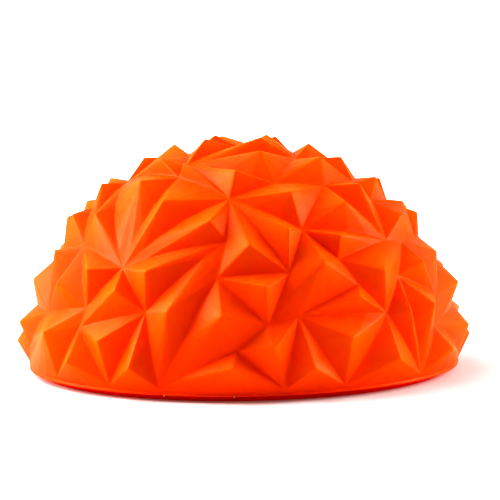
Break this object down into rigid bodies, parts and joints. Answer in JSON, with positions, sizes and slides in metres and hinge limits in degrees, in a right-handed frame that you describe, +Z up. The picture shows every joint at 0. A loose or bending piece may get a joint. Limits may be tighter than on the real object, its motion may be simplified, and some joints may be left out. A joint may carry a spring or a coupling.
{
  "type": "massage ball",
  "caption": "Air-filled half ball with a skin of irregular low peaks, a flat welded base and a push-in air stopper.",
  "frame": {"origin": "centre of the foot ring, on the ground", "axes": "+Z up along the ball's axis, -Y towards the side that the picture shows, +X to its right"},
  "size_m": [0.159, 0.1586, 0.0815],
  "materials": {
    "skin": "soft satin PVC",
    "base": "soft satin PVC",
    "sleeve": "soft PVC",
    "plug": "firm satin PVC"
  },
  "bodies": {
    "ball": {"dome_shell": "skin", "base_panel": "base", "valve_sleeve": "sleeve"},
    "stopper": {"valve_plug": "plug"}
  },
  "joints": [
    {"name": "plug_slide", "type": "slide", "parent": "ball", "child": "stopper", "axis": [0, 0, -1], "range_m": [0, 0.02]}
  ]
}
